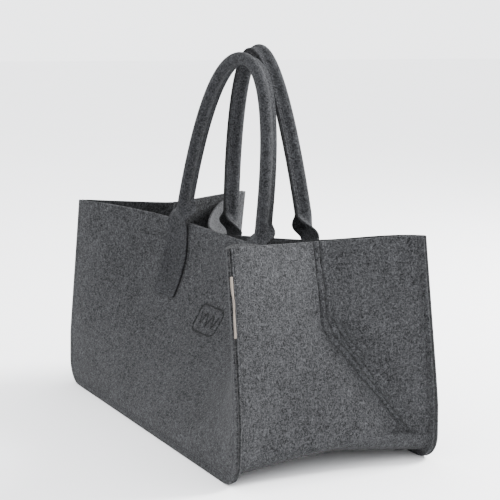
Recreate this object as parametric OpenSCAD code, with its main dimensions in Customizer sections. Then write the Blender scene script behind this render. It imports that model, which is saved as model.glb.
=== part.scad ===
// Felt knitting bag: two panels, one gusset strip, two rolled felt handles.
// Millimetres, +Z up, origin on the floor under the middle of the bag.
// X runs along the bag, the front panel is on the -Y side, the near end on the +X side.

/* [Bag] */
// Length of a panel along its bottom edge
body_l = 500; // [440:10:560]
// Width over the two panels at the floor
body_w = 235; // [220:5:280]
// Cut height of a panel
body_h = 238; // [220:2:280]
// Thickness of the felt
felt_t = 3; // [2.5:0.5:3.5]
// Radius of the panels' bottom corners
corner_r = 30; // [24:2:40]
// Width of the raw-edge seam that stands out along the ends and the bottom
flange_w = 9; // [8:1:11]

/* [Stance] */
// How far the front panel's top edge is drawn in at the middle
front_pull = 99; // [85:1:102]
// How much further the front edge is drawn in towards the near end
front_skew = 50; // [40:1:52]
// How far the back panel's top edge is drawn in at the middle
back_pull = 85; // [75:1:90]
// How much less the back edge is drawn in towards the near end
back_skew = -30; // [-32:1:-20]
// How far the top of the near end leans in
near_lean = 28.5; // [20:0.5:32]
// How far the top of the far end leans in
far_lean = 35; // [26:0.5:38]
// Depth of the crease down the middle of each end, at its top
fold_depth = 32; // [20:1:36]
// Depth of the point where each end's three creases meet
knot_depth = 20; // [12:1:24]
// Height of that point
fold_z = 146; // [120:2:160]
// How far the base arches up between the panels
base_arch = 13; // [8:1:18]

/* [Handles] */
// Thickness of a handle, which is a strip folded lengthwise round a hollow
handle_t = 13.5; // [13:0.5:15]
// Depth of a handle from its fold to the raw edges sewn together
handle_depth = 20; // [19:0.5:21]
// Distance between the two legs of a handle
leg_gap = 172; // [160:2:176]
// Place of the front handle's middle along the bag
front_shift = 1; // [0:1:6]
// Place of the back handle's middle along the bag
back_shift = 17; // [10:1:20]
// Height of the front handle over its legs' feet
front_rise = 198; // [185:1:205]
// Height of the back handle over its legs' feet
back_rise = 211; // [195:1:212]
// Lean of the front handle towards the middle, in degrees
front_tilt = 6; // [4.6:0.2:6.2]
// Lean of the back handle towards the middle, in degrees
back_tilt = 1.4; // [0.6:0.2:1.6]
// Width of the flat tab that ends each leg
tab_w = 38; // [34:1:42]
// Length of the tab down the panel
tab_h = 92; // [80:2:110]

/* [Trim] */
// Length of the leather tag along the seam
tag_h = 60; // [40:2:70]
// How far the tag stands out of the seam
tag_w = 14; // [10:1:16]
// Thickness of the folded tag
tag_t = 2; // [1.6:0.2:2.4]
// Height of the tag's lower end
tag_z = 152; // [140:1:155]
// Diameter of the sewing thread
thread_d = 0.9; // [0.8:0.1:1]

/* [Hidden] */

FRONT = 0;
BACK = 1;
half_l = body_l / 2;
felt_color = [0.21, 0.22, 0.23];
dark_felt = [0.15, 0.16, 0.17];
thread_color = [0.08, 0.08, 0.09];
leather_color = [0.62, 0.57, 0.52];
// Gap left between layers that are sewn face to face
sew_gap = 0.16;
// Gap behind the tabs and threads, which lie on the panels' curved faces
lay_gap = 0.4;
// Shape of the drawn-in top edges: how flat the middle is and how soft the ends are
pull_mid = [front_pull, back_pull];
pull_skew = [front_skew, back_skew];
pull_flat = [3.05, 4.3];
pull_soft = [1.83, 1.19];
corner_in = 2.3;
// The ends stand upright up to this share of their height and lean in above it
lean_from = 0.26;
// The panels stand upright along the seam, lean in above it and curve back upright towards the top:
// shares of the height above the seam where the lean is full, and where it starts to ease off
lean_full = 0.1;
ease_from = 0.45;
lean_rate = 1 / (1 - lean_full / 2 - (1 - ease_from) / 2);
// How far a drawn-in top edge comes down, against that of a straight panel
slump = [0.93, 1.58];
seam_share = flange_w / body_h;
// How far the crease's top sags under the corners of each end
end_sag = 5.3;
panel_cols = 30;
upper_rows = 8;
arc_steps = 5;
half_rings = 14;

// ---- Vector helpers ----
function unit(v) = v / norm(v);
function mix(a, b, k) = a * (1 - k) + b * k;
function soft_min(a, b, r) = (a + b - sqrt((a - b) * (a - b) + r * r)) / 2;
// A tent over -1..1 with a rounded ridge: 1 in the middle, 0 at both ends
function tent(t) = (sqrt(1.01) - sqrt(t * t + 0.01)) / (sqrt(1.01) - 0.1);

// ---- Surface of a panel: u from -1 at the far end to 1 at the near end, v from 0 up to 1 ----
function facing(side) = side == FRONT ? -1 : 1;
function pull(side, u) =
    corner_in + pow(1 - pow(min(abs(u), 1), pull_flat[side]), pull_soft[side])
    * (pull_mid[side] + pull_skew[side] * u);
function bend_in(v) =
    let (w = max(0, (v - seam_share) / (1 - seam_share)))
    lean_rate * (w < lean_full ? w * w / (2 * lean_full)
                 : w - lean_full / 2 - pow(max(0, w - ease_from), 2) / (2 * (1 - ease_from)));
function lean(u, v) =
    (u > 0 ? near_lean : far_lean) * pow(max(0, v - lean_from) / (1 - lean_from), 1.1);
function skin(side, u, v) =
    let (p = pull(side, u), b = bend_in(v))
    [u * (half_l - lean(u, v)),
     facing(side) * (body_w / 2 - p * b),
     body_h * v - slump[side] * (body_h - sqrt(body_h * body_h - p * p)) * b];
// Outward normal of the panel
function skin_out(side, u, v) =
    let (e = 0.004,
         du = skin(side, min(u + e, 1), v) - skin(side, max(u - e, -1), v),
         dv = skin(side, u, min(v + e, 1)) - skin(side, u, max(v - e, 0)))
    unit(cross(du, dv)) * -facing(side);
function skin_at(side, u, v, off) = skin(side, u, v) + skin_out(side, u, v) * off;

// ---- Closed solids from grids of points ----
function quad(a, b, c, d) = [[a, c, b], [a, d, c]];
// Two facing grids of m by n points, joined round their edges
module shell(outer, inner, m, n) {
    k = m * n;
    faces = [
        for (i = [0 : m - 2], j = [0 : n - 2])
            for (f = quad(i * n + j, i * n + j + 1, (i + 1) * n + j + 1, (i + 1) * n + j)) f,
        for (i = [0 : m - 2], j = [0 : n - 2])
            for (f = quad(k + i * n + j, k + (i + 1) * n + j, k + (i + 1) * n + j + 1, k + i * n + j + 1)) f,
        for (i = [0 : m - 2]) for (f = quad(i * n, (i + 1) * n, k + (i + 1) * n, k + i * n)) f,
        for (i = [0 : m - 2])
            for (f = quad(i * n + n - 1, k + i * n + n - 1, k + (i + 1) * n + n - 1, (i + 1) * n + n - 1)) f,
        for (j = [0 : n - 2]) for (f = quad(j, k + j, k + j + 1, j + 1)) f,
        for (j = [0 : n - 2])
            let (a = (m - 1) * n + j)
            for (f = quad(a, a + 1, k + a + 1, k + a)) f
    ];
    polyhedron(points = concat([for (r = outer) each r], [for (r = inner) each r]), faces = faces);
}
// A tube through rings of points, closed flat at both ends
module skinned(rings) {
    n = len(rings[0]);
    last = (len(rings) - 1) * n;
    faces = [
        [for (j = [0 : n - 1]) n - 1 - j],
        [for (j = [0 : n - 1]) last + j],
        for (i = [0 : len(rings) - 2], j = [0 : n - 1])
            let (a = i * n + j, b = i * n + (j + 1) % n)
            for (f = quad(a, a + n, b + n, b)) f
    ];
    polyhedron(points = [for (r = rings) each r], faces = faces);
}
// A thin thread along a path, square in section and level with the surface normals given
module thread_line(path, normals) {
    r = thread_d / 2;
    last = len(path) - 1;
    skinned([
        for (i = [0 : last])
            let (along = unit(path[min(i + 1, last)] - path[max(i - 1, 0)]),
                 side = unit(cross(along, normals[i])),
                 out = cross(side, along))
            [path[i] + (side + out) * r, path[i] + (out - side) * r,
             path[i] - (side + out) * r, path[i] + (side - out) * r]
    ]);
}

// ---- Panels ----
// Each column of a panel: its place along the bag and its lowest point, on the rounded corner
arc_columns = [
    for (i = [0 : arc_steps])
        let (a = 90 * (1 - i / arc_steps))
        [1 - corner_r / half_l * (1 - sin(a)), corner_r / body_h * (1 - cos(a))]
];
flat_u = 1 - corner_r / half_l;
columns = concat(
    [for (c = arc_columns) [-c[0], c[1]]],
    [for (i = [1 : panel_cols - 1]) [flat_u * (2 * i / panel_cols - 1), 0]],
    [for (i = [arc_steps : -1 : 0]) arc_columns[i]]
);
// Shares of a column's height where its rows stand, close together where the panel curves
row_shares = concat([0, seam_share, 0.09, 0.135, 0.28, 0.44],
                    [for (i = [1 : upper_rows]) mix(0.44, 1, i / upper_rows)]);
panel_rows = len(row_shares) - 1;
function row_v(low, j) = low + (1 - low) * row_shares[j];
function panel_grid(side, off) = [
    for (c = columns) [for (j = [0 : panel_rows]) skin_at(side, c[0], row_v(c[1], j), off)]
];
module panel(side) {
    a = panel_grid(side, 0);
    b = panel_grid(side, -felt_t);
    shell(side == FRONT ? b : a, side == FRONT ? a : b, len(columns), panel_rows + 1);
}
module front_panel() { color(felt_color) panel(FRONT); }
module back_panel() { color(felt_color) panel(BACK); }

// ---- Gusset: one strip from the near top, down, along the base and up the far end ----
// A stop along the strip is [end, height or place, angle]; the angle is 90 on an end, 0 on the base
end_stops = 9;
base_stops = 12;
function stop_at(sign, inset) = [
    for (i = [0 : end_stops]) [sign * (half_l - inset), mix(body_h, corner_r, pow(i / end_stops, 0.9)), 90, sign],
    for (i = [1 : arc_steps - 1])
        let (a = 90 * (1 - i / arc_steps))
        [sign * (half_l - corner_r + (corner_r - inset) * sin(a)),
         corner_r - (corner_r - inset) * cos(a), a, sign]
];
function backwards(list) = [for (i = [len(list) - 1 : -1 : 0]) list[i]];
function strip(inset) = concat(
    stop_at(1, inset),
    [for (i = [0 : base_stops]) [mix(half_l - corner_r, corner_r - half_l, i / base_stops), inset, 0, 1]],
    backwards(stop_at(-1, inset))
);
tips = strip(0);
seams = strip(flange_w);
fold_share = fold_z / body_h;
// How far a point of the strip is pushed into the bag, and up
function pushed(stop, t) =
    let (z = stop[1],
         upper = max(0, z / body_h - fold_share) / (1 - fold_share),
         side_face = mix(knot_depth, fold_depth, upper) * tent(t),
         lower_face = z < fold_z ? knot_depth * z / fold_z : fold_depth + knot_depth,
         inward = soft_min(side_face, lower_face, 3) * sin(stop[2]),
         arched = base_arch * tent(t) * max(0, 1 - z / fold_z),
         sagged = end_sag * tent(t) * upper * upper)
    [-stop[3] * max(inward, 0), 0, arched - sagged];
// A point of the seam on the inner face of a panel
function seam_point(side, stop, off) =
    skin_at(side, stop[0] / half_l, stop[1] / body_h, -felt_t - sew_gap - off);
bend_r = 3;
across = [-0.93, -0.8, -0.6, -0.4, -0.2, -0.07, 0.07, 0.2, 0.4, 0.6, 0.8, 0.93];
function flange_points(side, i) =
    let (tip = seam_point(side, tips[i], felt_t / 2),
         root = seam_point(side, seams[i], felt_t / 2),
         away = unit(tip - root),
         inward = -skin_out(side, seams[i][0] / half_l, seams[i][1] / body_h))
    [tip, root + away * bend_r, root + (away + inward) * bend_r * 0.29, root + inward * bend_r];
function gusset_ring(i) =
    let (f = flange_points(FRONT, i), b = flange_points(BACK, i))
    concat(f, [for (t = across) mix(f[3], b[3], (t + 1) / 2) + pushed(seams[i], t)], backwards(b));
gusset_mid = [for (i = [0 : len(seams) - 1]) gusset_ring(i)];
function grid_normal(g, i, j) =
    let (du = g[min(i + 1, len(g) - 1)][j] - g[max(i - 1, 0)][j],
         ahead = j < len(g[0]) - 1 ? unit(g[i][j + 1] - g[i][j]) : [0, 0, 0],
         behind = j > 0 ? unit(g[i][j] - g[i][j - 1]) : [0, 0, 0],
         dv = ahead + behind)
    unit(cross(du, dv));
function grid_offset(g, off) = [
    for (i = [0 : len(g) - 1]) [for (j = [0 : len(g[0]) - 1]) g[i][j] + grid_normal(g, i, j) * off]
];
module gusset() {
    color(felt_color)
        shell(grid_offset(gusset_mid, -felt_t / 2), grid_offset(gusset_mid, felt_t / 2),
              len(gusset_mid), len(gusset_mid[0]));
}

// ---- Handles ----
shift = [front_shift, back_shift];
rise = [front_rise, back_rise];
tilt = [front_tilt, back_tilt];
function leg_x(side, k) = shift[side] + (k - 0.5) * leg_gap;
function leg_u(side, k) = leg_x(side, k) / half_l;
// The line that a handle bends about: just outside its tabs and over their top edges
knuckle_rise = 2.6;
knuckle_gap = [2.4, 1.3];
function knuckle(side, k) =
    let (u = leg_u(side, k), along = unit(skin(side, u, 1) - skin(side, u, 0.98)))
    skin_at(side, u, 1, felt_t + lay_gap + knuckle_gap[side]) + along * knuckle_rise;
function arch_along(side) = unit(knuckle(side, 1) - knuckle(side, 0));
function arch_up(side) =
    let (a = arch_along(side),
         level = unit([0, 0, 1] - a * a[2]),
         inward = unit([0, -facing(side), 0] + a * a[1] * facing(side)))
    unit(level * cos(tilt[side]) + inward * sin(tilt[side]));
// Horizontal direction from a handle's outer side to its seam, over the mouth
function arch_in(side) = cross(arch_along(side), arch_up(side)) * facing(side);
// How far the middle of a handle's depth stands in from the knuckle line
tube_in = [8.6, 6];
strip_in = felt_t / 2 + 0.1;
// Share of the leg gap that the arch keeps at its shoulders
arch_shoulder = [0.95, 0.82];
arch_crown = [0.69, 0.455];
// Half of the arch as a Bezier curve, from a foot (k = 0) to the crown (k = 1)
function arch_point(side, k) =
    let (h = leg_gap / 2, r = rise[side], q = 1 - k)
    [h * (q * q * q + 3 * q * q * k * arch_shoulder[side] + 3 * q * k * k * arch_crown[side]),
     r * (3 * q * q * k * 0.51 + 3 * q * k * k + k * k * k)];
// The first stretch of each leg opens from the roll into the flat strip
open_keys = [0, 0.008, 0.035, 0.07];
arch_keys = concat(open_keys, [for (i = [1 : half_rings]) 0.07 + 0.93 * i / half_rings]);
arch_last = len(arch_keys) - 1;
function opened(k) = let (s = min(1, k / 0.07)) s * s * (3 - 2 * s);
function arch_list(side) = concat(
    [for (k = arch_keys) [-arch_point(side, k)[0], arch_point(side, k)[1], opened(k)]],
    [for (i = [arch_last - 1 : -1 : 0])
        let (k = arch_keys[i]) [arch_point(side, k)[0], arch_point(side, k)[1], opened(k)]]
);
function arch_path(side) =
    let (mid = (knuckle(side, 0) + knuckle(side, 1)) / 2, a = arch_along(side), up = arch_up(side),
         stretch = norm(knuckle(side, 1) - knuckle(side, 0)) / leg_gap)
    [for (p = arch_list(side))
        mid + a * p[0] * stretch + up * p[1] + arch_in(side) * mix(strip_in, tube_in[side], p[2])];
// Outline of the folded strip: round at the fold, with the two raw edges together at the other end
round_r = handle_t / 2;
round_at = round_r - handle_depth / 2;
lap_t = felt_t + 0.05;
fold_angles = [62, 95, 130, 165];
fold_outline = concat(
    [[handle_depth / 2, -lap_t]],
    [[handle_depth / 2, lap_t]],
    [[round_at + round_r * 0.9, lap_t + 0.2]],
    [for (a = fold_angles) [round_at + round_r * cos(a), round_r * sin(a)]],
    [for (i = [3 : -1 : 0]) [round_at + round_r * cos(fold_angles[i]), -round_r * sin(fold_angles[i])]],
    [[round_at + round_r * 0.9, -lap_t - 0.2]]
);
// Outline of the flat strip where it bends over the top edge
strip_w = 22;
flat_outline = [
    [1.5, -3], [1.5, 3], [1.5, 7], [1.4, strip_w / 2 - 1.5], [0.6, strip_w / 2], [-0.6, strip_w / 2],
    [-1.5, strip_w / 2 - 2], [-1.5, 2 - strip_w / 2], [-0.6, -strip_w / 2], [0.6, -strip_w / 2],
    [1.4, 1.5 - strip_w / 2], [1.5, -7]
];
// Rings of an outline along the arch: x towards the seam, y across it in the arch's own plane
function arch_rings(side, path, outlines) =
    let (n = len(path), in = arch_in(side))
    [for (i = [0 : n - 1])
        let (along = unit(path[min(i + 1, n - 1)] - path[max(i - 1, 0)]), out = unit(cross(in, along)))
        [for (o = outlines[i]) path[i] + in * o[0] + out * o[1]]];
hollow_r = round_r - felt_t;
hollow_outline = [for (i = [0 : 7]) [round_at + hollow_r * cos(45 * i), hollow_r * sin(45 * i)]];
module handle(side) {
    path = arch_path(side);
    n = len(path);
    open = [for (p = arch_list(side)) p[2]];
    outlines = [for (s = open) [for (j = [0 : 11]) mix(flat_outline[j], fold_outline[j], s)]];
    core = [for (i = [4 : n - 5]) path[i]];
    difference() {
        skinned(arch_rings(side, path, outlines));
        skinned(arch_rings(side, core, [for (i = core) hollow_outline]));
    }
}
module front_handle() { color(felt_color) handle(FRONT); }
module back_handle() { color(felt_color) handle(BACK); }

// ---- Tabs sewn flat on the outside of the panels ----
tab_cols = 5;
tab_rows = 6;
// A tab is a little narrower at its top, where the strip starts to roll
tab_top = 0.84;
function tab_width(down) = tab_w * min(1, tab_top + (1 - tab_top) * down / 0.4);
function tab_grid(side, k, off) = [
    for (i = [0 : tab_cols]) [
        for (j = [0 : tab_rows])
            let (down = 1 - j / tab_rows)
            skin_at(side, (leg_x(side, k) + tab_width(down) * (i / tab_cols - 0.5)) / half_l,
                    1 - tab_h / body_h * down, off)]
];
module tab(side, k) {
    a = tab_grid(side, k, lay_gap + felt_t);
    b = tab_grid(side, k, lay_gap);
    color(dark_felt) shell(side == FRONT ? b : a, side == FRONT ? a : b, tab_cols + 1, tab_rows + 1);
}
module front_near_tab() { tab(FRONT, 1); }
module front_far_tab() { tab(FRONT, 0); }
module back_near_tab() { tab(BACK, 1); }
module back_far_tab() { tab(BACK, 0); }

// ---- Threads ----
// The seam's stitches run on the panel's outer face, just outside the gusset's bend
stitch_in = flange_w - 1;
stitches = [for (s = strip(stitch_in)) s];
module seam_thread(side) {
    off = lay_gap + thread_d / 2;
    top_margin = 2 / body_h;
    spots = [for (s = stitches) [s[0] / half_l, min(s[1] / body_h, 1 - top_margin)]];
    color(thread_color)
        thread_line([for (s = spots) skin_at(side, s[0], s[1], off)],
                    [for (s = spots) skin_out(side, s[0], s[1])]);
}
module front_seam_thread() { seam_thread(FRONT); }
module back_seam_thread() { seam_thread(BACK); }

// The handle's lengthwise stitches, on both faces of its seam
module handle_thread(side) {
    path = arch_path(side);
    n = len(path);
    in = arch_in(side);
    seam = handle_depth / 2 - 3.5;
    for (face = [-1, 1]) {
        reach = face * (lap_t + lay_gap + thread_d / 2);
        spots = [
            for (i = [5 : n - 6])
                let (along = unit(path[i + 1] - path[i - 1]))
                path[i] + in * seam + unit(cross(in, along)) * reach
        ];
        color(thread_color) thread_line(spots, [for (i = spots) in]);
    }
}
module front_handle_thread() { handle_thread(FRONT); }
module back_handle_thread() { handle_thread(BACK); }

// A tab's stitches: down one side, along the bottom and up the other
module tab_thread(side, k) {
    edge = 4;
    top_v = 1 - 14 / body_h;
    low_v = 1 - (tab_h - edge) / body_h;
    reach = tab_w * tab_top / 2 - edge;
    steps = 4;
    spots = concat(
        [for (i = [0 : steps]) [-reach, mix(top_v, low_v, i / steps)]],
        [for (i = [1 : steps - 1]) [mix(-reach, reach, i / steps), low_v]],
        [for (i = [0 : steps]) [reach, mix(low_v, top_v, i / steps)]]
    );
    off = 2 * lay_gap + felt_t + thread_d / 2;
    color(thread_color)
        thread_line([for (s = spots) skin_at(side, (leg_x(side, k) + s[0]) / half_l, s[1], off)],
                    [for (s = spots) skin_out(side, (leg_x(side, k) + s[0]) / half_l, s[1])]);
}
module front_near_tab_thread() { tab_thread(FRONT, 1); }
module front_far_tab_thread() { tab_thread(FRONT, 0); }
module back_near_tab_thread() { tab_thread(BACK, 1); }
module back_far_tab_thread() { tab_thread(BACK, 0); }

// ---- Leather tag caught in the near front seam ----
tag_gap = 1;
tag_turn = -38;
module leather_tag() {
    low = skin_at(FRONT, 1, tag_z / body_h, -felt_t);
    high = skin_at(FRONT, 1, (tag_z + tag_h) / body_h, -felt_t);
    slant = atan2(high[0] - low[0], high[2] - low[2]);
    color(leather_color)
        translate(low + [tag_gap + tag_t / 2, 0, 0])
            rotate([0, slant, 0])
                rotate([0, 0, tag_turn])
                    union() {
                        cylinder(h = tag_h, r = tag_t / 2, $fn = 24);
                        translate([0, -tag_t / 2, 0]) cube([tag_w - tag_t / 2, tag_t, tag_h]);
                    }
}

front_panel();
back_panel();
gusset();
front_handle();
back_handle();
front_near_tab();
front_far_tab();
back_near_tab();
back_far_tab();
front_seam_thread();
back_seam_thread();
front_handle_thread();
back_handle_thread();
front_near_tab_thread();
front_far_tab_thread();
back_near_tab_thread();
back_far_tab_thread();
leather_tag();
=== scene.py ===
"""Felt knitting bag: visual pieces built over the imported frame. Millimetres, up to the stage."""

import math

import bpy
import numpy as np
from mathutils import Matrix, Vector


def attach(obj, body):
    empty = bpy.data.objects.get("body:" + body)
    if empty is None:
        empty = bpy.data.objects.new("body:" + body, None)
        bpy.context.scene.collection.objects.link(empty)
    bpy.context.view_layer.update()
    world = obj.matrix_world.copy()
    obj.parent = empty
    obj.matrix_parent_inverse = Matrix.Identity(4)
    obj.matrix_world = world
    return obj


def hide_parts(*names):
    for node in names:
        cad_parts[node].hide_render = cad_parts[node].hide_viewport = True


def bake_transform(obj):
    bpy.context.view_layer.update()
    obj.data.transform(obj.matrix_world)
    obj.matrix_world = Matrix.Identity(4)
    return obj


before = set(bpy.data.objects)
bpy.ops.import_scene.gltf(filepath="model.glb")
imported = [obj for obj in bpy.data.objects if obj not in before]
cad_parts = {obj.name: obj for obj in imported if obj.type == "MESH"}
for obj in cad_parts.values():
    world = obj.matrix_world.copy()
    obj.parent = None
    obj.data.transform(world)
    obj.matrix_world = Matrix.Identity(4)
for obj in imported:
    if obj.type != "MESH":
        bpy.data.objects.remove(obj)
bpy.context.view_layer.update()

# ---- Sizes, as in the part's source ----
HALF_L, HALF_W, BODY_H, FELT = 250.0, 117.5, 238.0, 3.0
CORNER_R, FLANGE = 30.0, 9.0
CORNER_IN = 2.3
PULL_MID, PULL_SKEW = (99, 85), (50, -30)
PULL_FLAT, PULL_SOFT = (3.05, 4.3), (1.83, 1.19)
NEAR_LEAN, FAR_LEAN, LEAN_FROM = 28.5, 35.0, 0.26
LEAN_FULL, EASE_FROM, SLUMP = 0.1, 0.45, (0.93, 1.58)
LEAN_RATE = 1 / (1 - LEAN_FULL / 2 - (1 - EASE_FROM) / 2)
FOLD_DEPTH, KNOT_DEPTH, FOLD_Z = 32.0, 20.0, 146.0
BASE_ARCH, END_SAG = 13.0, 5.3
GAP, SHIFT, RISE, TILT = 172.0, (1, 17), (198, 211), (6.0, 1.4)
SHOULDER, CROWN = (0.95, 0.82), (0.69, 0.455)
KNUCKLE_RISE, KNUCKLE_GAP = 2.6, (2.4, 1.3)
TUBE_IN, STRIP_IN = (8.6, 6.0), 1.6
TAB_W, TAB_H, TAB_TOP = 38.0, 92.0, 0.84
TAG_Z, TAG_H, TAG_REACH, TAG_TURN = 152.0, 60.0, 12.6, -29.0
# Gaps between layers sewn face to face, and behind a tab that lies on a panel
SEW_GAP, LAY = 0.1, 0.4
FRONT, BACK = 0, 1
FACING = (-1, 1)
SIDES = ((FRONT, "front"), (BACK, "back"))
SEAM = FLANGE / BODY_H


def unit(v):
    return v / np.maximum(np.linalg.norm(v, axis=-1, keepdims=True), 1e-12)


def smooth(x):
    x = np.clip(x, 0, 1)
    return x * x * (3 - 2 * x)


def mix(a, b, k):
    return a * (1 - k) + b * k


# ---- Surface of a panel: u from -1 at the far end to 1 at the near end, v from 0 up to 1 ----
def skin(side, u, v):
    u, v = np.broadcast_arrays(np.asarray(u, float), np.asarray(v, float))
    au = np.minimum(np.abs(u), 1)
    pulled = (1 - au ** PULL_FLAT[side]) ** PULL_SOFT[side]
    p = CORNER_IN + pulled * (PULL_MID[side] + PULL_SKEW[side] * u)
    w = np.maximum(0, (v - SEAM) / (1 - SEAM))
    ease = np.maximum(0, w - EASE_FROM) ** 2 / (2 * (1 - EASE_FROM))
    b = LEAN_RATE * np.where(w < LEAN_FULL, w * w / (2 * LEAN_FULL), w - LEAN_FULL / 2 - ease)
    above = np.maximum(0, v - LEAN_FROM) / (1 - LEAN_FROM)
    lean = np.where(u > 0, NEAR_LEAN, FAR_LEAN) * above ** 1.1
    return np.stack([
        u * (HALF_L - lean),
        FACING[side] * (HALF_W - p * b),
        BODY_H * v - SLUMP[side] * (BODY_H - np.sqrt(BODY_H ** 2 - p ** 2)) * b,
    ], -1)


def skin_out(side, u, v):
    e = 0.004
    du = skin(side, np.minimum(u + e, 1), v) - skin(side, np.maximum(u - e, -1), v)
    dv = skin(side, u, np.minimum(v + e, 1)) - skin(side, u, np.maximum(v - e, 0))
    return unit(np.cross(du, dv)) * -FACING[side]


def inset_of(x, z):
    """Distance of a point of the cut panel from its edge, the top edge left out."""
    ax = np.abs(x)
    d = np.minimum(HALF_L - ax, z)
    corner = (ax > HALF_L - CORNER_R) & (z < CORNER_R)
    return np.where(corner, CORNER_R - np.hypot(ax - HALF_L + CORNER_R, CORNER_R - z), d)


def wave(side, u, v):
    """Slow unevenness of a felt panel, nothing along its seams."""
    x, z = u * HALF_L, v * BODY_H
    ph = 1.7 * side
    w = 0.55 * np.sin(x / 41 + z / 67 + ph) + 0.45 * np.sin(x / 23 - z / 37 + 2 + ph)
    w += 0.3 * np.sin(x / 13 + z / 17 + ph) + 0.35 * np.sin(z / 19 - x / 71 + ph)
    return w * smooth((inset_of(x, z) - 9) / 40)


def panel_at(side, u, v, off):
    """A point of the uneven panel, off millimetres out from its outer face."""
    u, v = np.broadcast_arrays(np.asarray(u, float), np.asarray(v, float))
    return skin(side, u, v) + skin_out(side, u, v) * (np.asarray(off) + wave(side, u, v))[..., None]


# ---- Mesh helpers ----
def build(name, verts, faces, material, body=None, edge=None):
    """A smooth-shaded mesh. edge paints light and shade into the felt: it lightens the felt at a vertex
    above 0 (painted highlight) and darkens it below 0 (painted shade).
    """
    me = bpy.data.meshes.new(name)
    me.from_pydata((np.asarray(verts) * 0.001).tolist(), [], faces)
    me.polygons.foreach_set("use_smooth", [True] * len(me.polygons))
    if edge is not None:
        values = me.attributes.new("edge", "FLOAT", "POINT").data
        values.foreach_set("value", edge.astype(np.float32))
    me.materials.append(material)
    me.update()
    ob = bpy.data.objects.new(name, me)
    bpy.context.scene.collection.objects.link(ob)
    if body:
        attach(ob, body)
    return ob


def slab(name, outer, inner, material, body=None, edge_in=0.5, groove_shade=None):
    """A closed slab between two grids, its border rounded. Its last argument darkens pressed lines of the
    outer face with painted shade.
    """
    m, n = outer.shape[:2]
    idx = np.arange(m * n).reshape(m, n)
    o, i = outer.reshape(-1, 3).copy(), inner.reshape(-1, 3).copy()
    loop = np.concatenate([idx[:-1, 0], idx[-1, :-1], idx[:0:-1, -1], idx[0, :0:-1]])
    r, c = np.divmod(loop, n)
    near = np.clip(r, 1, m - 2) * n + np.clip(c, 1, n - 2)
    rim = (o[loop] + i[loop]) / 2
    for g in (o, i):
        d = g[near] - g[loop]
        step = np.minimum(edge_in, 0.45 * np.linalg.norm(d, axis=1))
        g[loop] = g[loop] + unit(d) * step[:, None]
    quads = np.stack([idx[:-1, :-1], idx[1:, :-1], idx[1:, 1:], idx[:-1, 1:]], -1).reshape(-1, 4)
    k = m * n
    mid = 2 * k + np.arange(len(loop))
    nxt, mid_n = np.roll(loop, -1), np.roll(mid, -1)
    faces = np.concatenate([
        quads, quads[:, ::-1] + k,
        np.stack([nxt, loop, mid, mid_n], -1),
        np.stack([loop + k, nxt + k, mid_n, mid], -1),
    ])
    a = quads[len(quads) // 2]
    if np.dot(np.cross(o[a[1]] - o[a[0]], o[a[3]] - o[a[0]]), o[a[0]] - i[a[0]]) < 0:
        faces = faces[:, ::-1]
    edge = np.zeros(2 * k + len(loop))
    # painted shade in the pressed lines of the outer face
    if groove_shade is not None:
        edge[:k] = -groove_shade.ravel()
    # pale painted highlight round the outer face's border, dark painted shade on the cut and round the inner
    # face
    edge[loop], edge[loop + k], edge[mid] = 0.7, -1.0, -1.0
    return build(name, np.concatenate([o, i, rim]), faces.tolist(), material, body, edge)


def grid_normals(g):
    """Unit normals of a grid of points."""
    du = np.gradient(g, axis=0)
    ahead = unit(np.diff(g, axis=1, append=g[:, -1:]))
    behind = unit(np.diff(g, axis=1, prepend=g[:, :1]))
    return unit(np.cross(du, ahead + behind))


def stitches(name, path, normals, body):
    """Short rounded stitches along a path, each dipping into the felt at its two ends."""
    pitch, length, radius, dip = 4.3, 3.1, 0.42, 0.75
    rings, around = 7, 8
    s = np.concatenate([[0], np.cumsum(np.linalg.norm(np.diff(path, axis=0), axis=1))])

    def along_path(values, at):
        return np.stack([np.interp(at, s, values[:, c]) for c in range(3)], -1)

    count = int((s[-1] - length) // pitch) + 1
    first = (s[-1] - (count - 1) * pitch - length) / 2
    h = np.linspace(-1, 1, rings)
    size = radius * np.sqrt(np.clip(1 - np.abs(h) ** 3.2, 0.05, 1))
    ang = np.linspace(0, 2 * math.pi, around, endpoint=False)
    verts, faces = [], []
    for q in first + np.arange(count) * pitch:
        at = q + np.linspace(0, 1, rings) * length
        p, out = along_path(path, at), unit(along_path(normals, at))
        side = unit(np.cross(unit(np.gradient(p, axis=0)), out))
        middle = p - out * (dip * np.abs(h) ** 4)[:, None]
        ring = side[:, None] * np.cos(ang)[None, :, None] + out[:, None] * np.sin(ang)[None, :, None]
        base = len(verts) * rings * around
        verts.append((middle[:, None] + size[:, None, None] * ring).reshape(-1, 3))
        for a in range(rings - 1):
            low, high = base + a * around, base + (a + 1) * around
            for b in range(around):
                c = (b + 1) % around
                faces.append([low + b, low + c, high + c, high + b])
        faces.append([base + b for b in range(around)][::-1])
        faces.append([base + (rings - 1) * around + b for b in range(around)])
    ob = build(name, np.concatenate(verts), faces, THREAD_MAT, body)
    return ob


# ---- Materials ----
def nodes_of(name):
    """A new material, its node tree and its Principled shader."""
    mat = bpy.data.materials.new(name)
    mat.use_nodes = True
    nt = mat.node_tree
    bsdf = next(n for n in nt.nodes if n.type == "BSDF_PRINCIPLED")
    return mat, nt, bsdf


def node(nt, kind, inputs=None, **props):
    """A node with its inputs linked, or set to a value."""
    n = nt.nodes.new(kind)
    for k, v in props.items():
        setattr(n, k, v)
    for k, v in (inputs or {}).items():
        if isinstance(v, bpy.types.NodeSocket):
            nt.links.new(v, n.inputs[k])
        else:
            n.inputs[k].default_value = v
    return n


def math_node(nt, op, a, b=0.0, c=0.0):
    return node(nt, "ShaderNodeMath", {0: a, 1: b, 2: c}, operation=op).outputs[0]


def times(nt, a, b):
    return math_node(nt, "MULTIPLY", a, b)


def plus(nt, a, b):
    return math_node(nt, "ADD", a, b)


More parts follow.
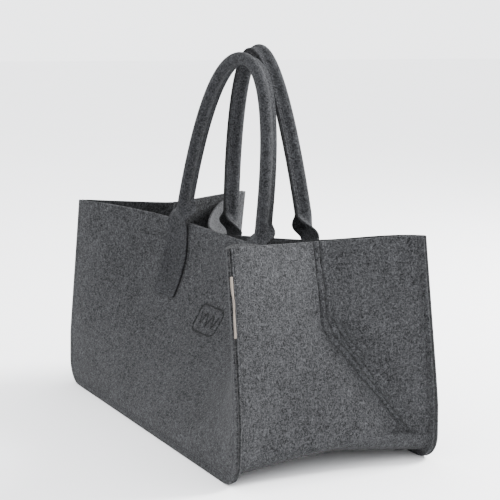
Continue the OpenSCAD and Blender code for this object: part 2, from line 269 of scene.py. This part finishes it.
def noise(nt, vector, scale, detail=2.0, roughness=0.5, output=0):
    inputs = {"Vector": vector, "Scale": scale, "Detail": detail, "Roughness": roughness}
    return node(nt, "ShaderNodeTexNoise", inputs).outputs[output]


def scaled(nt, vector, by):
    return node(nt, "ShaderNodeVectorMath", {0: vector, "Scale": by}, operation="SCALE").outputs[0]


def ramp(nt, fac, low, high):
    """Maps low[0]..high[0] to low[1]..high[1], clamped."""
    inputs = {"Value": fac, "From Min": low[0], "From Max": high[0], "To Min": low[1], "To Max": high[1]}
    return node(nt, "ShaderNodeMapRange", inputs).outputs[0]


def bump(nt, bsdf, height, strength, distance):
    inputs = {"Height": height, "Strength": strength, "Distance": distance}
    nt.links.new(node(nt, "ShaderNodeBump", inputs).outputs[0], bsdf.inputs["Normal"])


# Directions and stretches of the felt's short fibres
FIBRES = (
    ((0.5, 0.9, 0.2), (190, 760, 760)),
    ((1.9, 0.3, 1.1), (760, 210, 760)),
    ((0.8, 2.2, 2.6), (760, 760, 190)),
    ((2.6, 1.4, 0.5), (210, 820, 820)),
)


def felt(name, dark, light, edge_light_gain=0.45):
    """Melange wool felt: dark ground, short pale fibres lying every way, a soft nap."""
    mat, nt, bsdf = nodes_of(name)
    co = node(nt, "ShaderNodeTexCoord").outputs["Object"]
    cloud = noise(nt, co, 26.0, 3.0)
    grain = noise(nt, co, 430.0, 4.0, 0.62)
    blot = noise(nt, co, 170.0, 3.0, 0.6)
    warp = noise(nt, co, 90.0, output=1)
    inputs = {0: co, 1: scaled(nt, warp, 0.006)}
    bent = node(nt, "ShaderNodeVectorMath", inputs, operation="ADD").outputs[0]
    fibres = None
    for turn, stretch in FIBRES:
        inputs = {"Vector": bent, "Rotation": turn, "Scale": stretch}
        mapped = node(nt, "ShaderNodeMapping", inputs).outputs[0]
        f = ramp(nt, noise(nt, mapped, 1.0, 1.5), (0.55, 0.0), (0.70, 1.0))
        fibres = f if fibres is None else math_node(nt, "MAXIMUM", fibres, f)
    tone = plus(nt, times(nt, ramp(nt, grain, (0.38, 0.0), (0.72, 1.0)), 0.40),
                times(nt, ramp(nt, blot, (0.34, 0.0), (0.72, 1.0)), 0.22))
    tone = plus(nt, tone, times(nt, fibres, 0.62))
    tone = plus(nt, tone, times(nt, math_node(nt, "SUBTRACT", cloud, 0.5), 0.30))
    # the edge attribute scales the colour: painted highlight along outer borders, painted shade on the cuts
    # and round inner faces
    edge = node(nt, "ShaderNodeAttribute", attribute_name="edge").outputs["Fac"]
    gain = plus(nt, times(nt, edge, edge_light_gain), 1.0)
    inputs = {0: tone, 6: (*dark, 1), 7: (*light, 1)}
    colour = node(nt, "ShaderNodeMix", inputs, data_type="RGBA", clamp_factor=False).outputs[2]
    nt.links.new(scaled(nt, colour, gain), bsdf.inputs["Base Color"])
    bsdf.inputs["Roughness"].default_value = 0.95
    bsdf.inputs["Specular IOR Level"].default_value = 0.06
    bsdf.inputs["Sheen Weight"].default_value = 0.03
    bsdf.inputs["Sheen Roughness"].default_value = 0.6
    fuzz = plus(nt, times(nt, fibres, 0.35), times(nt, blot, 0.7))
    bump(nt, bsdf, plus(nt, times(nt, grain, 0.8), fuzz), 0.9, 0.0014)
    return mat


def fine_grain(name, base, scale, depth, rough=0.7):
    """Thread or leather: one colour, uneven and a little worn, with a fine grain of this depth in metres."""
    mat, nt, bsdf = nodes_of(name)
    co = node(nt, "ShaderNodeTexCoord").outputs["Object"]
    fine, slow = noise(nt, co, scale, 5.0), noise(nt, co, scale * 0.13)
    tone = plus(nt, times(nt, fine, 0.6), times(nt, slow, 0.4))
    tone = ramp(nt, tone, (0.35, 0.75), (0.65, 1.25))
    nt.links.new(scaled(nt, tuple(base), tone), bsdf.inputs["Base Color"])
    bsdf.inputs["Specular IOR Level"].default_value = 0.3
    nt.links.new(ramp(nt, fine, (0.3, rough - 0.12), (0.7, rough + 0.12)), bsdf.inputs["Roughness"])
    bump(nt, bsdf, fine, 0.6, depth)
    return mat


FELT_MAT = felt("felt", (0.0026, 0.0027, 0.0030), (0.054, 0.055, 0.058))
# the handles get a darker copy of the panel felt: painted shade
HANDLE_SHADED_MAT = felt("handle_felt", (0.0016, 0.0017, 0.0020), (0.038, 0.039, 0.042))
THREAD_MAT = fine_grain("thread", (0.022, 0.022, 0.025), 2400, 0.0002)
LEATHER_MAT = fine_grain("leather", (0.12, 0.10, 0.082), 900, 0.0003, rough=0.55)

# ---- Panels ----
MARK_X, MARK_Z = 13.0, 137.5
MARK_HALF_W, MARK_HALF_H, MARK_R = 23.0, 16.0, 8.0
STITCH_X, STITCH_HALF_W, STITCH_LOW, STITCH_HIGH = (-12.0, 0.0, 12.0), 5.0, -7.0, 6.5


def mark_depth(x, z):
    """A pressed mark: a rounded frame round a row of knit stitches, lines about 2 mm wide."""
    px, pz = x - MARK_X, z - MARK_Z
    qx, qz = np.abs(px) - MARK_HALF_W + MARK_R, np.abs(pz) - MARK_HALF_H + MARK_R
    outside = np.hypot(np.maximum(qx, 0), np.maximum(qz, 0))
    best = np.abs(outside + np.minimum(np.maximum(qx, qz), 0) - MARK_R)
    for foot in STITCH_X:
        for dx in (-STITCH_HALF_W, STITCH_HALF_W):
            dz = STITCH_HIGH - STITCH_LOW
            ax, az = px - foot, pz - STITCH_LOW
            t = np.clip((ax * dx + az * dz) / (dx * dx + dz * dz), 0, 1)
            best = np.minimum(best, np.hypot(ax - t * dx, az - t * dz))
    return 1.1 * np.exp(-(best / 1.15) ** 2)


def panel_cut():
    """The cut panel as a grid, u and v, finer along its seams and round the mark."""
    a = np.radians(np.linspace(90, 0, 26))
    end_u = 1 - CORNER_R / HALF_L * (1 - np.sin(a))
    low = CORNER_R / BODY_H * (1 - np.cos(a))
    flat = HALF_L - CORNER_R
    x = np.concatenate([
        np.arange(-flat + 3, -15, 3.4), np.arange(-14, 40, 0.9), np.arange(41, flat - 2, 3.4),
    ])
    u = np.concatenate([-end_u, x / HALF_L, end_u[::-1]])
    lows = np.concatenate([low, 0 * x, low[::-1]])
    z = np.concatenate([
        np.arange(0, 15, 1.0), np.arange(15.5, 117, 3.2), np.arange(118, 157, 0.9),
        np.arange(158, BODY_H - 5, 3.2), BODY_H - np.array([4, 2.5, 1, 0]),
    ])
    s = z / BODY_H
    v = lows[:, None] + (1 - lows[:, None]) * s[None]
    return np.repeat(u[:, None], len(s), 1), v


for side, word in SIDES:
    u, v = panel_cut()
    x, z = u * HALF_L, v * BODY_H
    seam = 0.55 * np.exp(-((inset_of(x, z) - FLANGE + 1) / 1.3) ** 2)
    press = mark_depth(x, z) if side == FRONT else 0 * x
    outer = panel_at(side, u, v, -seam - press)
    inner = panel_at(side, u, v, -FELT)
    # painted shade in the seam groove and the pressed mark, as deep as they are pressed
    groove_shade = 1.6 * press + 1.1 * seam
    ob = slab(word + "_panel_felt", outer, inner, FELT_MAT, "bag", groove_shade=groove_shade)
    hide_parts(word + "_panel")

# ---- Gusset ----
def strip(inset):
    """Stops along the strip at one distance from its edge: x, height, angle and sign.
    It runs from the near top down, along the base and up the far end."""
    flat = HALF_L - CORNER_R
    turn = np.linspace(90, 0, 18)[1:-1]

    def end(z, sign):
        return [(sign * (HALF_L - inset), h, 90, sign) for h in z]

    def corner(angles, sign):
        rows = []
        for a in angles:
            c, r = math.radians(a), CORNER_R - inset
            rows.append((sign * (flat + r * math.sin(c)), CORNER_R - r * math.cos(c), a, sign))
        return rows

    base = [(mix(flat, -flat, k), inset, 0, 1) for k in np.linspace(0, 1, 110)]
    return np.array(
        end(np.linspace(BODY_H, CORNER_R, 180), 1) + corner(turn, 1) + base
        + corner(turn[::-1], -1) + end(np.linspace(CORNER_R, BODY_H, 110), -1))


def tent(t, soft):
    """1 in the middle, 0 at -1 and 1, with a ridge rounded by soft."""
    top = math.sqrt(1 + soft * soft)
    return (top - np.sqrt(t * t + soft * soft)) / (top - soft)


def pushed(stops, t):
    """How far the strip is pushed into the bag, and up, at each stop and place across it."""
    z, angle, sign = stops[:, 1:2], np.radians(stops[:, 2:3]), stops[:, 3:4]
    share = FOLD_Z / BODY_H
    upper = np.maximum(0, z / BODY_H - share) / (1 - share)
    side_face = mix(KNOT_DEPTH, FOLD_DEPTH, upper) * tent(t, 0.05)
    lower_face = np.where(z < FOLD_Z, KNOT_DEPTH * z / FOLD_Z, FOLD_DEPTH + KNOT_DEPTH)
    d = side_face - lower_face
    inward = np.maximum((side_face + lower_face - np.sqrt(d * d + 2.0)) / 2, 0) * np.sin(angle)
    arched = BASE_ARCH * tent(t, 0.1) * np.maximum(0, 1 - z / FOLD_Z)
    sagged = END_SAG * tent(t, 0.1) * upper * upper
    return np.stack([-sign * inward, 0 * inward, arched - sagged], -1)


def seam_at(side, stops, off):
    """A point of the seam, off millimetres in from the panel's inner face."""
    u, v = stops[:, 0] / HALF_L, stops[:, 1] / BODY_H
    return skin(side, u, v) + skin_out(side, u, v) * (-FELT - SEW_GAP - off)


def gusset_mid():
    """The gusset's middle surface as a grid, its stops, and each column's place across it."""
    tips, roots = strip(0), strip(FLANGE)
    bend_r = 3.0
    halves = []
    for side in (FRONT, BACK):
        tip, root = seam_at(side, tips, FELT / 2), seam_at(side, roots, FELT / 2)
        away = unit(tip - root)
        inward = -skin_out(side, roots[:, 0] / HALF_L, roots[:, 1] / BODY_H)
        pts = [mix(tip, root + away * bend_r, k) for k in np.linspace(0, 1, 6)]
        for f in np.radians(np.linspace(15, 90, 6)):
            pts.append(root + bend_r * (away * (1 - math.sin(f)) + inward * (1 - math.cos(f))))
        halves.append(pts)
    t = np.linspace(-0.985, 0.985, 176)[None, :]
    a, b = halves[0][-1][:, None], halves[1][-1][:, None]
    middle = a * ((1 - t) / 2)[..., None] + b * ((1 + t) / 2)[..., None] + pushed(roots, t)
    g = np.concatenate([np.stack(halves[0], 1), middle, np.stack(halves[1][::-1], 1)], 1)
    flange = np.ones(len(halves[0]))
    return g, roots, np.concatenate([-flange, t[0], flange])


# Half the width of an end between its seams, and the height where its fold turns to the corner
END_HALF, FOLD_TURN_Z, KNOT_Z = 112.0, 150.0, 146.0
FOLD_END = np.array([104.0, 12.0])
FOLD_LEG = BODY_H - FOLD_TURN_Z
FOLD_DIAG = FOLD_END - np.array([0.0, KNOT_Z])
FOLD_DIAG_L = math.hypot(*FOLD_DIAG)
# Wrinkles beside the fold: where each starts down it, the share of the slanting part where it
# ends, its distance from the fold, depth, width, and the length and phase of its waver
WRINKLES = (
    (0, 1.02, 0.0, 1.25, 1.25, 9.0, 0.3),
    (0, 0.96, 7.0, 1.15, 1.1, 7.0, 1.1),
    (58, 0.72, 13.0, 0.9, 1.2, 8.0, 2.0),
    (70, 0.42, 19.0, 0.7, 1.3, 7.0, 0.7),
    (80, 0.25, 25.5, 0.5, 1.5, 8.0, 2.9),
)


def from_fold(y, z):
    """Signed distance of points of an end from its fold, and how far down the fold they lie."""
    s = np.linspace(0, 1, 260) * (FOLD_LEG + FOLD_DIAG_L)
    slant = np.maximum(0, s - FOLD_LEG) / FOLD_DIAG_L
    px = slant * FOLD_DIAG[0]
    pz = np.where(s < FOLD_LEG, BODY_H - s, KNOT_Z + slant * FOLD_DIAG[1])
    soft = np.hanning(41)
    soft /= soft.sum()
    px, pz = (np.convolve(np.pad(p, 20, "edge"), soft, "valid") for p in (px, pz))
    tx, tz = np.gradient(px), np.gradient(pz)
    length = np.hypot(tx, tz)
    near = ((y[..., None] - px) ** 2 + (z[..., None] - pz) ** 2).argmin(-1)
    dist = (y - px[near]) * (-tz / length)[near] + (z - pz[near]) * (tx / length)[near]
    return dist, s[near]


def crease_field(roots, tt, sign):
    """How far each point of an end stands in or out of its plane: the fold's bundle of wrinkles."""
    rows = np.nonzero((roots[:, 3] == sign) & (roots[:, 2] == 90))[0]
    y = np.repeat(tt[None] * END_HALF, len(rows), 0)
    z = np.repeat(roots[rows, 1:2], len(tt), 1)
    dist, at = from_fold(y, z)
    run = np.clip((at - FOLD_LEG) / FOLD_DIAG_L, 0, 1)
    total = np.zeros_like(dist)
    for start, stop, off, depth, width, wave_l, ph in WRINKLES:
        waver = 0.6 * (0.7 + 0.05 * off) * np.sin(at / wave_l + ph)
        waver += 0.3 * np.sin(at / (wave_l * 0.41) + 2 * ph)
        from_top = 1 if start == 0 else 0
        fade = smooth((at - start) / 22 + from_top) * smooth((stop - run) / 0.14)
        x = (dist - off * (1 - 0.62 * run) - waver) / width
        groove = -np.exp(-x * x) + 0.45 * np.exp(-((x - 2.0) / 1.4) ** 2)
        groove += 0.25 * np.exp(-((x + 1.9) / 1.2) ** 2)
        total += 1.5 * fade * depth * groove
    # the fold itself is deeper towards the back corner
    reach = 34.0
    into = smooth((at - FOLD_LEG * 0.55) / 60) * smooth((1.06 - run) / 0.3)
    valley = np.maximum(0, 1 - np.sqrt(dist ** 2 + 3.0) / reach) ** 1.25
    total -= (8.0 if sign > 0 else 3.0) * into * valley
    # the soft fold to the front corner
    aside = (y * FOLD_DIAG[1] + (z - KNOT_Z) * FOLD_DIAG[0]) / FOLD_DIAG_L
    along = (-y * FOLD_DIAG[0] + (z - KNOT_Z) * FOLD_DIAG[1]) / FOLD_DIAG_L
    ends = smooth(along / 30) * smooth((FOLD_DIAG_L - along) / 30)
    total -= 0.5 * np.exp(-(aside / 6.0) ** 2) * ends
    # slow unevenness of the felt
    total += 0.45 * np.sin(y / 21 + z / 33) + 0.35 * np.sin(z / 17 - y / 39 + 1)
    total += 0.2 * np.sin(y / 9.5 + 0.5) * np.sin(z / 11.5)
    total *= smooth((1 - np.abs(y) / END_HALF) * 9)
    out = np.zeros((len(roots), len(tt)))
    out[rows] = total * (1.0 if sign > 0 else 0.45) * smooth((z - 14) / 12)
    return out


def outward(grid):
    """The gusset's normals, turned to point away from the bag."""
    n = grid_normals(grid)
    near_middle = n[60, grid.shape[1] // 2]
    return -n if near_middle[0] < 0 else n


mid, roots, tt = gusset_mid()
mid = mid + outward(mid) * (crease_field(roots, tt, 1) + crease_field(roots, tt, -1))[..., None]
thick = outward(mid) * FELT / 2
gusset = slab("gusset_felt", mid + thick, mid - thick, FELT_MAT, "bag")
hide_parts("gusset")


# ---- Handles ----
def leg_u(side, k):
    return (SHIFT[side] + (k - 0.5) * GAP) / HALF_L


def knuckle(side, k):
    """A foot of a handle: a point of the line that the handle bends about."""
    u = leg_u(side, k)
    along = unit(skin(side, u, 1.0) - skin(side, u, 0.98))
    out = skin_out(side, u, 1.0) * (FELT + LAY + KNUCKLE_GAP[side])
    return skin(side, u, 1.0) + out + along * KNUCKLE_RISE


def arch_axes(side):
    """Middle of the feet, direction from foot to foot, up, in over the mouth, and the stretch."""
    k0, k1 = knuckle(side, 0), knuckle(side, 1)
    a = unit(k1 - k0)
    level = unit(np.array([0, 0, 1.0]) - a * a[2])
    inward = unit(np.array([0, -FACING[side], 0]) + a * a[1] * FACING[side])
    c = math.radians(TILT[side])
    up = unit(level * math.cos(c) + inward * math.sin(c))
    return (k0 + k1) / 2, a, up, np.cross(a, up) * FACING[side], np.linalg.norm(k1 - k0) / GAP


# The folded strip in section: a round part, two faces closing in, and the raw edges side by side
ROLL_R, ROLL_TURN, ROLL_CLOSE, ROLL_EDGE = 5.25, math.radians(130), 7.4, 3.2
ROLL_AT = 3.25
FLAT_HALF = ROLL_R * ROLL_TURN + ROLL_CLOSE + ROLL_EDGE


def section(open_share, across):
    """The strip's middle line at one place: how far it stands in, and how far across."""
    fine = np.linspace(0, FLAT_HALF, 300)
    back = ROLL_TURN - (fine - ROLL_R * ROLL_TURN) / ROLL_CLOSE * (ROLL_TURN - math.pi / 2)
    turn = np.where(fine < ROLL_R * ROLL_TURN, fine / ROLL_R, np.maximum(math.pi / 2, back))
    turn = turn * open_share
    step = fine[1] - fine[0]
    x = np.concatenate([[0], np.cumsum((np.sin(turn[1:]) + np.sin(turn[:-1])) / 2 * step)])
    y = np.concatenate([[0], np.cumsum((np.cos(turn[1:]) + np.cos(turn[:-1])) / 2 * step)])
    w = np.abs(across)
    return np.interp(w, fine, x), np.interp(w, fine, y) * np.sign(across)


def arch(side, k, sign, stretch):
    """Half of an arch, from a foot (k = 0) to the crown (k = 1): along, up and k."""
    q = 1 - k
    x = GAP / 2 * (q ** 3 + 3 * q * q * k * SHOULDER[side] + 3 * q * k * k * CROWN[side])
    z = RISE[side] * (3 * q * q * k * 0.51 + 3 * q * k * k + k ** 3)
    return x * sign * stretch, z, k


def tab_rows(side, k, turn):
    """Rows of a tab from its top down, on the outside of the panel; turn is 1 or -1."""
    top, corner = 7.0, 4.0
    rows = []
    for d in np.linspace(0, 1, 34):
        height = top + d * (TAB_H - top)
        width = TAB_W * min(1, TAB_TOP + (1 - TAB_TOP) * d / 0.4)
        width *= 1 - max(0, (height - TAB_H + corner) / corner) ** 2 * 0.07
        u = leg_u(side, k) + turn * across / (2 * FLAT_HALF) * width / HALF_L
        rows.append(panel_at(side, u, 1 - height / BODY_H, LAY + FELT / 2))
    return np.array(rows)


def bridge(a0, a1, b0, b1, n=7):
    """Rows that carry the strip smoothly from one stretch to the next."""
    gap = np.linalg.norm(b0 - a1, axis=1, keepdims=True)
    ta, tb = unit(a1 - a0) * gap, unit(b1 - b0) * gap
    rows = []
    for s in np.linspace(0, 1, n + 2)[1:-1]:
        rows.append((2 * s ** 3 - 3 * s * s + 1) * a1 + (s ** 3 - 2 * s * s + s) * ta
                    + (3 * s * s - 2 * s ** 3) * b0 + (s ** 3 - s * s) * tb)
    return np.array(rows)


across = np.linspace(-1, 1, 49) * FLAT_HALF
for side, word in SIDES:
    centre, along_x, up, inn, stretch = arch_axes(side)
    ks = np.concatenate([np.linspace(0.010, 0.09, 15), np.linspace(0.10, 1, 75)])
    spots = np.array([arch(side, k, -1, stretch) for k in ks]
                     + [arch(side, k, 1, stretch) for k in ks[-2::-1]])
    opened = smooth(spots[:, 2] / 0.085)
    line = centre + along_x * spots[:, :1] + up * spots[:, 1:2]
    outs = unit(np.cross(inn, unit(np.gradient(line, axis=0))))
    rows = []
    for i in range(len(spots)):
        sx, sy = section(opened[i], across)
        narrow = mix(TAB_W * TAB_TOP / (2 * FLAT_HALF), 1, opened[i])
        first = mix(STRIP_IN, TUBE_IN[side] - ROLL_R - ROLL_AT, opened[i])
        rows.append(line[i] + inn * (first + sx)[:, None] + outs[i] * (sy * narrow)[:, None])
    arch_rows = np.array(rows)

    first_turn = 1 if side == FRONT else -1
    low0 = tab_rows(side, 0, first_turn)[::-1]
    low1 = tab_rows(side, 1, -first_turn)
    mid_rows = np.concatenate([
        low0, bridge(low0[-2], low0[-1], arch_rows[0], arch_rows[1]),
        arch_rows, bridge(arch_rows[-2], arch_rows[-1], low1[0], low1[1]), low1,
    ])
    c = len(across) // 2
    nn = grid_normals(mid_rows)
    if np.dot(nn[10, c], -inn) < 0:
        nn = -nn
    thick = nn * FELT / 2
    strip_ob = slab(word + "_handle_strip", mid_rows + thick, mid_rows - thick, HANDLE_SHADED_MAT, edge_in=0.6)
    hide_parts(word + "_handle", word + "_near_tab", word + "_far_tab")
    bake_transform(strip_ob)

    # lengthwise stitches on both faces of the seam
    run = spots[:, 2] > 0.11
    seam_line = line[run] + inn * (TUBE_IN[side] + 6.2)
    for face, tag in ((-1, "under"), (1, "over")):
        path = seam_line + outs[run] * face * (FELT + 0.30)
        stitches(f"{word}_handle_stitches_{tag}", path, outs[run] * face, word + "_handle")
    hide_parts(word + "_handle_thread")

    # stitches of the two tabs
    for k, place in ((1, "near"), (0, "far")):
        reach = TAB_W * TAB_TOP / 2 - 3.6
        top_v, low_v = 1 - 12 / BODY_H, 1 - (TAB_H - 4) / BODY_H
        q = np.linspace(0, 1, 40)
        sx = np.concatenate([
            -reach + 0 * q, mix(-reach, reach, q)[1:-1], reach + 0 * q,
        ])
        sv = np.concatenate([
            mix(top_v, low_v, q), low_v + 0 * q[1:-1], mix(low_v, top_v, q),
        ])
        su = leg_u(side, k) + sx / HALF_L
        path = panel_at(side, su, sv, LAY + FELT + 0.22)
        ob = stitches(f"{word}_{place}_tab_stitches", path, skin_out(side, su, sv), "bag")
        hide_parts(f"{word}_{place}_tab_thread")

# ---- Long seams ----
for side, word in SIDES:
    stops = strip(FLANGE - 1)
    su, sv = stops[:, 0] / HALF_L, np.minimum(stops[:, 1] / BODY_H, 1 - 3 / BODY_H)
    path = panel_at(side, su, sv, -0.25)
    ob = stitches(f"{word}_seam_stitches", path, skin_out(side, su, sv), "bag")
    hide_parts(f"{word}_seam_thread")


# ---- Leather tag ----
def leather_tag():
    """A strip folded double, caught in the seam by its two ends, with a slight kink."""
    def seam_corner(z):
        v = z / BODY_H
        return skin(FRONT, 1.0, v) + skin_out(FRONT, 1.0, v) * -FELT

    low, high = seam_corner(TAG_Z), seam_corner(TAG_Z + TAG_H)
    slant = math.atan2(high[0] - low[0], high[2] - low[2])
    place = np.array(
        Matrix.Translation(Vector(low + np.array([2.0, 0, 0])))
        @ Matrix.Rotation(slant, 4, "Y")
        @ Matrix.Rotation(math.radians(TAG_TURN), 4, "Z"))
    # outline seen from above: two leaves meeting in a round fold
    leaf, fold_r = 0.75, 0.85
    half = 0.05 + leaf / 2
    straight = np.linspace(-0.8, TAG_REACH - 0.9, 14)
    turn = np.radians(np.linspace(15, 165, 9))
    x = np.concatenate([straight, TAG_REACH - 0.9 + fold_r * np.sin(turn), straight[::-1]])
    y = np.concatenate([0 * straight + half, half * np.cos(turn), 0 * straight - half])
    rows = []
    for z in np.linspace(0, TAG_H, 34):
        bow = 1.3 * math.exp(-((z - 34) / 9) ** 2) + 0.3 * math.sin(z / 11)
        p = np.stack([x + 0.15 * math.sin(z / 7), y + bow * smooth(x / 12), 0 * x + z], -1)
        rows.append(p @ place[:3, :3].T + place[:3, 3])
    g = np.array(rows)
    n = grid_normals(g) * leaf / 2
    ob = slab("leather_tag_fold", g + n, g - n, LEATHER_MAT, "tag", edge_in=0.15)
    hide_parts("leather_tag")


leather_tag()

# ---- Stage, light and camera, in metres ----
def paper():
    """Plain matt paper, barely uneven."""
    mat, nt, bsdf = nodes_of("paper")
    co = node(nt, "ShaderNodeTexCoord").outputs["Object"]
    tone = ramp(nt, noise(nt, co, 3.0), (0.3, 0.99), (0.7, 1.0))
    nt.links.new(scaled(nt, (0.92, 0.92, 0.925), tone), bsdf.inputs["Base Color"])
    bsdf.inputs["Roughness"].default_value = 0.9
    bsdf.inputs["Specular IOR Level"].default_value = 0.1
    return mat


bpy.ops.mesh.primitive_plane_add(size=30)
floor = bpy.context.object
floor.name = "floor"
floor.data.materials.append(paper())

world = bpy.data.worlds.new("studio")
bpy.context.scene.world = world
world.use_nodes = True
back = world.node_tree.nodes["Background"]
back.inputs[0].default_value = (0.97, 0.98, 1.0, 1)
back.inputs[1].default_value = 3.5

key = bpy.data.lights.new("key", "AREA")
key.energy = 190
key.size = 0.8
key_ob = bpy.data.objects.new("key", key)
bpy.context.scene.collection.objects.link(key_ob)
key_ob.location = (0.35, 1.9, 1.45)
aim = Vector((0, 0, 0.15)) - key_ob.location
key_ob.rotation_euler = aim.to_track_quat("-Z", "Y").to_euler()

# The camera stands off the near end's front corner and looks a little down
SENSOR_MM = 36.0
FOCAL_SHARE = 2.898  # focal length over the picture's width
CAMERA_AT = np.array([1.48995, -0.70513, 0.45573])
az, el, roll = math.radians(64.12), math.radians(8.89), 0.006
cam = bpy.data.cameras.new("camera")
cam.sensor_width = SENSOR_MM
cam.lens = FOCAL_SHARE * SENSOR_MM
cam.clip_start = 0.05
camera = bpy.data.objects.new("camera", cam)
bpy.context.scene.collection.objects.link(camera)
bpy.context.scene.camera = camera
ahead = np.array([-math.sin(az) * math.cos(el), math.cos(az) * math.cos(el), -math.sin(el)])
level = np.array([math.cos(az), math.sin(az), 0])
above = np.cross(level, ahead)
right = math.cos(roll) * level + math.sin(roll) * above
top = -math.sin(roll) * level + math.cos(roll) * above
placed = np.eye(4)
placed[:3] = np.stack([right, top, -ahead, CAMERA_AT], 1)
camera.matrix_world = Matrix(placed.tolist())
